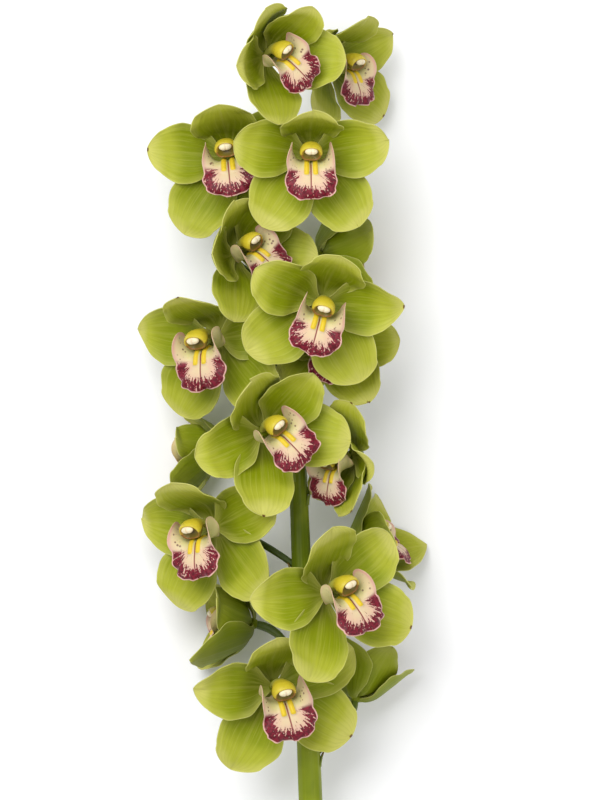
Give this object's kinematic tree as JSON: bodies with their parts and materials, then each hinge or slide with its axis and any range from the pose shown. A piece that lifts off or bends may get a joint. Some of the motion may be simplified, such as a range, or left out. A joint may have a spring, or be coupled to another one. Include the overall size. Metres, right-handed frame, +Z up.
{
  "type": "cymbidium orchid stem",
  "caption": "Cut cymbidium orchid stem lying down, with yellow-green open blooms, crimson-marked ruffled lips and a bare lower stem.",
  "frame": {"origin": "middle of the footprint, at the height of the surface that the stem lies on", "axes": "+Y along the stem towards its tip, +Z up and away from the surface, so that most blooms face +Z, and +X to the right of the picture"},
  "size_m": [0.178, 0.6982, 0.1359],
  "materials": {
    "stem_green": "satin",
    "tepals": "satin",
    "lip": "satin",
    "column": "satin"
  },
  "bodies": {
    "root": {"stem": "stem_green", "bloom_01_tepals": "tepals", "bloom_01_lip": "lip", "bloom_01_column": "column", "bloom_02_tepals": "tepals", "bloom_02_lip": "lip", "bloom_02_column": "column", "bloom_03_tepals": "tepals", "bloom_03_lip": "lip", "bloom_03_column": "column", "bloom_04_tepals": "tepals", "bloom_04_lip": "lip", "bloom_04_column": "column", "bloom_05_tepals": "tepals", "bloom_05_lip": "lip", "bloom_05_column": "column", "bloom_06_tepals": "tepals", "bloom_06_lip": "lip", "bloom_06_column": "column", "bloom_07_tepals": "tepals", "bloom_07_lip": "lip", "bloom_07_column": "column", "bloom_08_tepals": "tepals", "bloom_08_lip": "lip", "bloom_08_column": "column", "bloom_09_tepals": "tepals", "bloom_09_lip": "lip", "bloom_09_column": "column", "bloom_10_tepals": "tepals", "bloom_10_lip": "lip", "bloom_10_column": "column", "bloom_11_tepals": "tepals", "bloom_11_lip": "lip", "bloom_11_column": "column", "bloom_12_tepals": "tepals", "bloom_12_lip": "lip", "bloom_12_column": "column", "bloom_13_tepals": "tepals", "bloom_13_lip": "lip", "bloom_13_column": "column", "bloom_14_tepals": "tepals", "bloom_14_lip": "lip", "bloom_14_column": "column", "bloom_15_tepals": "tepals", "bloom_15_lip": "lip", "bloom_15_column": "column", "bloom_16_tepals": "tepals", "bloom_16_lip": "lip", "bloom_16_column": "column", "bloom_17_tepals": "tepals", "bloom_17_lip": "lip", "bloom_17_column": "column", "bloom_18_tepals": "tepals", "bloom_18_lip": "lip", "bloom_18_column": "column"}
  },
  "joints": []
}
